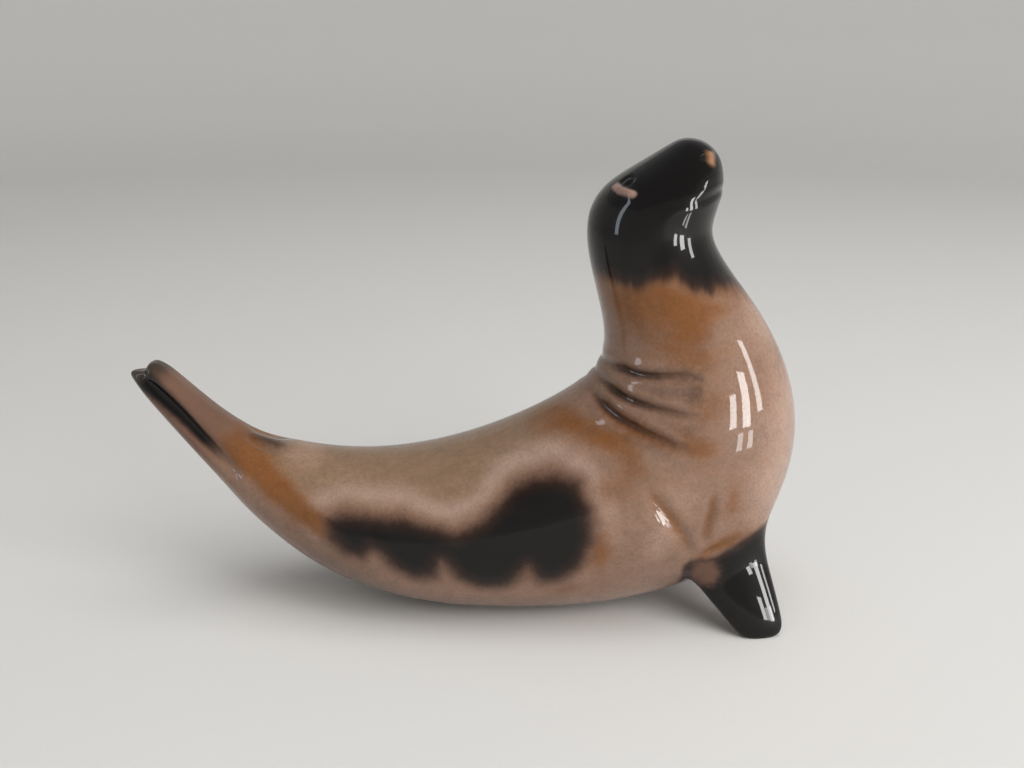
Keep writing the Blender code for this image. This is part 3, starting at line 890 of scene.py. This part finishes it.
class Nodes:
    """Short calls for the nodes of one material."""

    def __init__(self, name):
        self.material = bpy.data.materials.new(name)
        self.material.use_nodes = True
        self.tree = self.material.node_tree
        self.inputs = self.tree.nodes["Principled BSDF"].inputs
        self.place = self.tree.nodes.new("ShaderNodeTexCoord").outputs["Object"]
        self.noises = {}

    def put(self, socket, value):
        """Links a value to a socket, or writes it there if it is a number or a colour."""
        if isinstance(value, bpy.types.NodeSocket):
            self.tree.links.new(value, socket)
        elif isinstance(value, tuple) and len(socket.default_value) == 4:
            socket.default_value = (*value, 1.0)
        else:
            socket.default_value = value

    def math(self, operation, first, second=0.0, third=0.0):
        node = self.tree.nodes.new("ShaderNodeMath")
        node.operation = operation
        for socket, value in zip(node.inputs, (first, second, third)):
            self.put(socket, value)
        return node.outputs[0]

    def distance(self, first, second):
        """How far a place lies from the origin, by its two coordinates."""
        squares = (self.math("POWER", first, 2.0), self.math("POWER", second, 2.0))
        return self.math("SQRT", self.math("ADD", *squares))

    def step(self, value, start, full):
        """From 0 at start to 1 at full, whichever of the two is larger."""
        node = self.tree.nodes.new("ShaderNodeMapRange")
        node.interpolation_type = "SMOOTHSTEP"
        self.put(node.inputs["Value"], value)
        node.inputs["From Min"].default_value = min(start, full)
        node.inputs["From Max"].default_value = max(start, full)
        node.inputs["To Min"].default_value = 1.0 if start > full else 0.0
        node.inputs["To Max"].default_value = 0.0 if start > full else 1.0
        return node.outputs[0]

    def mix(self, factor, first, second):
        """The second colour laid over the first. The node has other sockets as well."""
        node = self.tree.nodes.new("ShaderNodeMix")
        node.data_type = "RGBA"
        for socket, value in zip(MIX_INPUTS, (factor, first, second)):
            self.put(node.inputs[socket], value)
        return node.outputs[MIX_RESULT]

    def shaded(self, colour, brightness):
        """A colour made lighter or darker by a factor."""
        node = self.tree.nodes.new("ShaderNodeVectorMath")
        node.operation = "SCALE"
        self.put(node.inputs[0], colour)
        self.put(node.inputs["Scale"], brightness)
        return node.outputs[0]

    def noise(self, kind):
        """Noise from -1 to 1, about. Each kind is made once."""
        if kind not in self.noises:
            mapping = self.tree.nodes.new("ShaderNodeMapping")
            mapping.inputs["Scale"].default_value = kind.stretch
            mapping.inputs["Location"].default_value = [kind.shift * way for way in NOISE_SHIFT]
            self.put(mapping.inputs["Vector"], self.place)
            node = self.tree.nodes.new("ShaderNodeTexNoise")
            node.inputs["Scale"].default_value = kind.scale
            node.inputs["Detail"].default_value = kind.detail
            self.put(node.inputs["Vector"], mapping.outputs[0])
            middle = -NOISE_RANGE / 2
            self.noises[kind] = self.math("MULTIPLY_ADD", node.outputs[0], NOISE_RANGE, middle)
        return self.noises[kind]

    def rough(self, value, noises):
        """A value with each noise added, times its factor."""
        for kind, factor in noises:
            value = self.math("MULTIPLY_ADD", self.noise(kind), factor, value)
        return value

    def spray(self, colour, value, layers, within=1.0):
        """A colour under the layers that set in where the value passes their limits."""
        for layer in layers:
            cover = self.step(value, layer.start, layer.full)
            cover = self.math("MULTIPLY", cover, layer.strength)
            colour = self.mix(self.math("MULTIPLY", cover, within), colour, layer.colour)
        return colour

    def named(self, name):
        """What paint has written under this name."""
        node = self.tree.nodes.new("ShaderNodeAttribute")
        node.attribute_name = name
        return node.outputs["Fac"]

    def apart(self):
        """X, Y and Z of the place."""
        node = self.tree.nodes.new("ShaderNodeSeparateXYZ")
        self.put(node.inputs[0], self.place)
        return node.outputs


def body_colour(nodes):
    """Tan, greyer along the back, paler in clouds, with rust-brown accents and painted shade."""
    back = nodes.math("MULTIPLY", nodes.named("back"), BACK_STRENGTH)
    colour = nodes.mix(nodes.rough(back, BACK_NOISE), TAN, OLIVE)
    colour = nodes.spray(colour, nodes.rough(nodes.named("pale"), PALE_NOISE), PALE_LAYERS)
    strength = nodes.rough(HALO_STRENGTH, HALO_NOISE)
    colour = nodes.mix(nodes.math("MULTIPLY", nodes.named("halo"), strength), colour, HALO)
    rust = nodes.math("MULTIPLY", nodes.named("rust"), RUST_STRENGTH)
    colour = nodes.spray(colour, nodes.rough(rust, RUST_NOISE), RUST_LAYERS)
    # Painted shade: the body is darker under the belly, on the lower flank, at the nape and on
    # the tail near its root.
    painted_shade = nodes.math("MULTIPLY", nodes.named("painted_shade"), PAINTED_SHADE_STRENGTH)
    return nodes.shaded(colour, nodes.math("SUBTRACT", nodes.rough(1.0, SHADE_NOISE), painted_shade))


def front_flippers(nodes, colour):
    """Black, with a thin brown place at the rear of the root."""
    paw = nodes.rough(nodes.named("paw"), PAW_NOISE)
    x, _, z = nodes.apart()
    ahead = nodes.math("SUBTRACT", x, THIN_PLACE[0])
    above_place = nodes.math("SUBTRACT", z, THIN_PLACE[1])
    gap = nodes.rough(nodes.distance(ahead, above_place), THIN_NOISE)
    colour = nodes.spray(colour, paw, PAW_LAYERS)
    colour = nodes.spray(colour, paw, THIN_PAW_LAYERS, nodes.step(gap, *THIN_RANGE))
    return nodes.spray(colour, paw, THICK_PAW_LAYERS, nodes.step(gap, *THICK_RANGE))


def hind_flippers(nodes, colour):
    """Brown, with dark tips and a black channel that widens towards them.

    The channel's black is partly dark glaze and partly painted shade.
    """
    tail = nodes.named("tail")
    colour = nodes.spray(colour, tail, TAIL_LAYERS)
    colour = nodes.spray(colour, nodes.rough(tail, TIP_NOISE), TIP_LAYERS)
    gap = nodes.rough(nodes.named("channel"), CHANNEL_NOISE)
    width = nodes.math("MULTIPLY_ADD", tail, CHANNEL_GAIN, CHANNEL_WIDTH)
    along = (nodes.step(tail, *CHANNEL_START), nodes.step(tail, *CHANNEL_END))
    # The black in the channel is partly dark glaze and partly painted shade.
    share = nodes.math("DIVIDE", gap, width)
    return nodes.spray(colour, share, CHANNEL_GLAZE_AND_SHADE_LAYERS, nodes.math("MULTIPLY", *along))


def face(nodes, colour):
    """The eye's lid and the nostril's rim, where the glaze is thin, and the pupil."""
    colour = nodes.spray(colour, nodes.rough(nodes.named("lid"), LID_NOISE), LID_LAYERS)
    colour = nodes.spray(colour, nodes.named("eye"), PUPIL_LAYERS)
    rim = nodes.step(nodes.rough(nodes.named("rim"), RIM_NOISE), *RIM_RANGE)
    return nodes.mix(nodes.math("POWER", rim, RIM_POWER), colour, NOSTRIL_TAN)


def bare_clay(nodes):
    """One under the belly and the flipper tips, and inside the vent."""
    x, y, z = nodes.apart()
    foot = nodes.step(nodes.rough(z, CLAY_EDGE_NOISE), FOOT_HEIGHT * 2, FOOT_HEIGHT)
    gap = nodes.distance(nodes.math("SUBTRACT", x, VENT_X), y)
    across = nodes.step(gap, *(VENT_DIAMETER * share for share in CLAY_ACROSS))
    low = nodes.step(z, *(VENT_DEPTH * share for share in CLAY_UP))
    return nodes.math("MAXIMUM", foot, nodes.math("MULTIPLY", across, low))


def glaze():
    """Airbrushed colours and painted shade under a clear glossy glaze, with bare clay where
    it stands.
    """
    nodes = Nodes("glazed ceramic")
    colour = body_colour(nodes)
    colour = nodes.spray(colour, nodes.rough(nodes.named("dark"), POOL_NOISE), POOL_LAYERS)
    colour = nodes.spray(colour, nodes.rough(nodes.named("patch"), PATCH_NOISE), PATCH_LAYERS)
    colour = nodes.spray(colour, nodes.rough(nodes.named("hood"), HOOD_NOISE), HOOD_LAYERS)
    colour = front_flippers(nodes, colour)
    colour = hind_flippers(nodes, colour)
    colour = face(nodes, colour)
    bare = bare_clay(nodes)
    clay = nodes.shaded(BISQUE, nodes.rough(1.0, CLAY_NOISE))
    rougher = CLAY_ROUGHNESS - GLAZE_ROUGHNESS
    nodes.put(nodes.inputs["Base Color"], nodes.mix(bare, colour, clay))
    roughness = nodes.math("MULTIPLY_ADD", bare, rougher, GLAZE_ROUGHNESS)
    nodes.put(nodes.inputs["Roughness"], roughness)
    nodes.put(nodes.inputs["Coat Weight"], nodes.math("SUBTRACT", 1.0, bare))
    for name, value in GLAZE_LOOK.items():
        nodes.inputs[name].default_value = value
    bump = nodes.tree.nodes.new("ShaderNodeBump")
    bump.inputs["Strength"].default_value = BUMP_STRENGTH
    bump.inputs["Distance"].default_value = BUMP_DISTANCE
    nodes.put(bump.inputs["Height"], nodes.noise(GLAZE_WAVE))
    for name in ("Normal", "Coat Normal"):
        nodes.put(nodes.inputs[name], bump.outputs[0])
    return nodes.material


# The studio: a round floor of plain paper, as (radius, height), that rises as a backdrop.
PAPER = (0.70, 0.695, 0.68)
PAPER_LOOK = {"Roughness": 0.9, "Specular IOR Level": 0.1}
FLOOR_PROFILE = (
    (0.25, 0.0), (0.5, 0.0), (0.8, 0.0), (1.1, 0.0), (1.25, 0.02), (1.37, 0.07),
    (1.46, 0.17), (1.5, 0.3), (1.5, 0.9),
)
FLOOR_SIDES = 96

# Lamps round the figurine, which point at the chest, at the head or at its middle. azimuth
# runs from the camera's side towards +X. A hidden lamp gives light and doesn't show in the
# glaze, and the others are only its highlights. Sizes are in metres and powers in watts.
CHEST = (0.074, -0.022, 0.068)
HEAD = (0.041, -0.014, 0.112)
MIDDLE = (0.0, 0.0, 0.06)
Lamp = namedtuple("Lamp", "name target azimuth elevation distance width height power hidden")
LAMPS = (
    Lamp("window pane 1", CHEST, 38.5, -1.8, 0.50, 0.055, 0.090, 0.34, False),
    Lamp("window pane 2", CHEST, 52.5, -0.3, 0.50, 0.080, 0.165, 0.95, False),
    Lamp("window pane 3", CHEST, 69.0, 7.0, 0.50, 0.060, 0.190, 0.62, False),
    Lamp("low pane 1", CHEST, 46.0, -14.5, 0.20, 0.018, 0.026, 0.018, False),
    Lamp("low pane 2", CHEST, 57.0, -14.5, 0.20, 0.020, 0.026, 0.020, False),
    Lamp("left window", HEAD, -68.0, 16.0, 0.60, 0.080, 0.460, 0.75, False),
    Lamp("key", MIDDLE, 42.0, 30.0, 1.10, 0.8, 0.8, 8.4, True),
    Lamp("overhead", MIDDLE, 60.0, 75.0, 1.40, 1.2, 1.2, 10.5, True),
)
WINDOW_COLOUR = (1.0, 0.985, 0.97)
SKY_COLOUR = (0.80, 0.88, 1.0)
SKY_LAMPS = ("left window",)
WORLD_COLOUR = (0.98, 0.99, 1.0, 1.0)
WORLD_STRENGTH = 0.26

# The camera sees the figurine as the photograph does. FOCAL_PIXELS is its focal length in
# pixels of an image IMAGE_WIDTH wide, and its tilt is in degrees from straight down.
CAMERA_PLACE = (0.0132, -0.288, 0.15904)
CAMERA_TILT = 72.0
SENSOR_WIDTH = 36.0
FOCAL_PIXELS = 1080
IMAGE_WIDTH = 1024
CLIP_START = 0.01


def studio_paper():
    nodes = Nodes("studio paper")
    colour = nodes.shaded(PAPER, nodes.rough(1.0, PAPER_NOISE))
    nodes.put(nodes.inputs["Base Color"], colour)
    for name, value in PAPER_LOOK.items():
        nodes.inputs[name].default_value = value
    return nodes.material


def add_floor():
    """A round floor whose rim rises as a backdrop on all sides."""
    bm = bmesh.new()
    centre = bm.verts.new((0, 0, 0))
    rows = []
    for radius, height in FLOOR_PROFILE:
        row = []
        for k in range(FLOOR_SIDES):
            angle = 2 * math.pi * k / FLOOR_SIDES
            row.append(bm.verts.new((radius * math.cos(angle), radius * math.sin(angle), height)))
        rows.append(row)
    for k in range(FLOOR_SIDES):
        after = (k + 1) % FLOOR_SIDES
        bm.faces.new((centre, rows[0][k], rows[0][after]))
        for low, high in zip(rows, rows[1:]):
            bm.faces.new((low[k], high[k], high[after], low[after]))
    mesh = bpy.data.meshes.new("floor")
    bm.to_mesh(mesh)
    bm.free()
    mesh.shade_smooth()
    floor = link(mesh, "floor", bpy.context.scene.collection)
    mesh.materials.append(studio_paper())


def add_lamps():
    for lamp in LAMPS:
        light = bpy.data.lights.new(lamp.name, "AREA")
        light.shape = "RECTANGLE"
        light.size = lamp.width
        light.size_y = lamp.height
        light.energy = lamp.power
        light.color = SKY_COLOUR if lamp.name in SKY_LAMPS else WINDOW_COLOUR
        thing = bpy.data.objects.new(lamp.name, light)
        turn = math.radians(lamp.azimuth)
        lift = math.radians(lamp.elevation)
        level = math.cos(lift)
        towards = Vector((math.sin(turn) * level, -math.cos(turn) * level, math.sin(lift)))
        thing.location = Vector(lamp.target) + towards * lamp.distance
        thing.rotation_euler = (-towards).to_track_quat("-Z", "Y").to_euler()
        thing.visible_camera = False
        thing.visible_glossy = not lamp.hidden
        thing.visible_diffuse = lamp.hidden
        bpy.context.scene.collection.objects.link(thing)


def add_world():
    world = bpy.data.worlds.new("studio")
    world.use_nodes = True
    background = world.node_tree.nodes["Background"]
    background.inputs["Color"].default_value = WORLD_COLOUR
    background.inputs["Strength"].default_value = WORLD_STRENGTH
    bpy.context.scene.world = world


def add_camera():
    camera = bpy.data.cameras.new("camera")
    camera.sensor_width = SENSOR_WIDTH
    camera.lens = FOCAL_PIXELS / IMAGE_WIDTH * SENSOR_WIDTH
    camera.clip_start = CLIP_START
    thing = bpy.data.objects.new("camera", camera)
    thing.location = CAMERA_PLACE
    thing.rotation_euler = (math.radians(CAMERA_TILT), 0.0, 0.0)
    bpy.context.scene.collection.objects.link(thing)
    bpy.context.scene.camera = thing


mesh = fine_body()
paint(mesh)
mesh.materials.clear()
mesh.materials.append(glaze())
seal = link(mesh, "glazed_seal", bpy.context.scene.collection)
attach(seal, "root")
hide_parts("seal_figurine")

add_floor()
add_lamps()
add_world()
add_camera()
bpy.context.scene.view_settings.view_transform = "Standard"
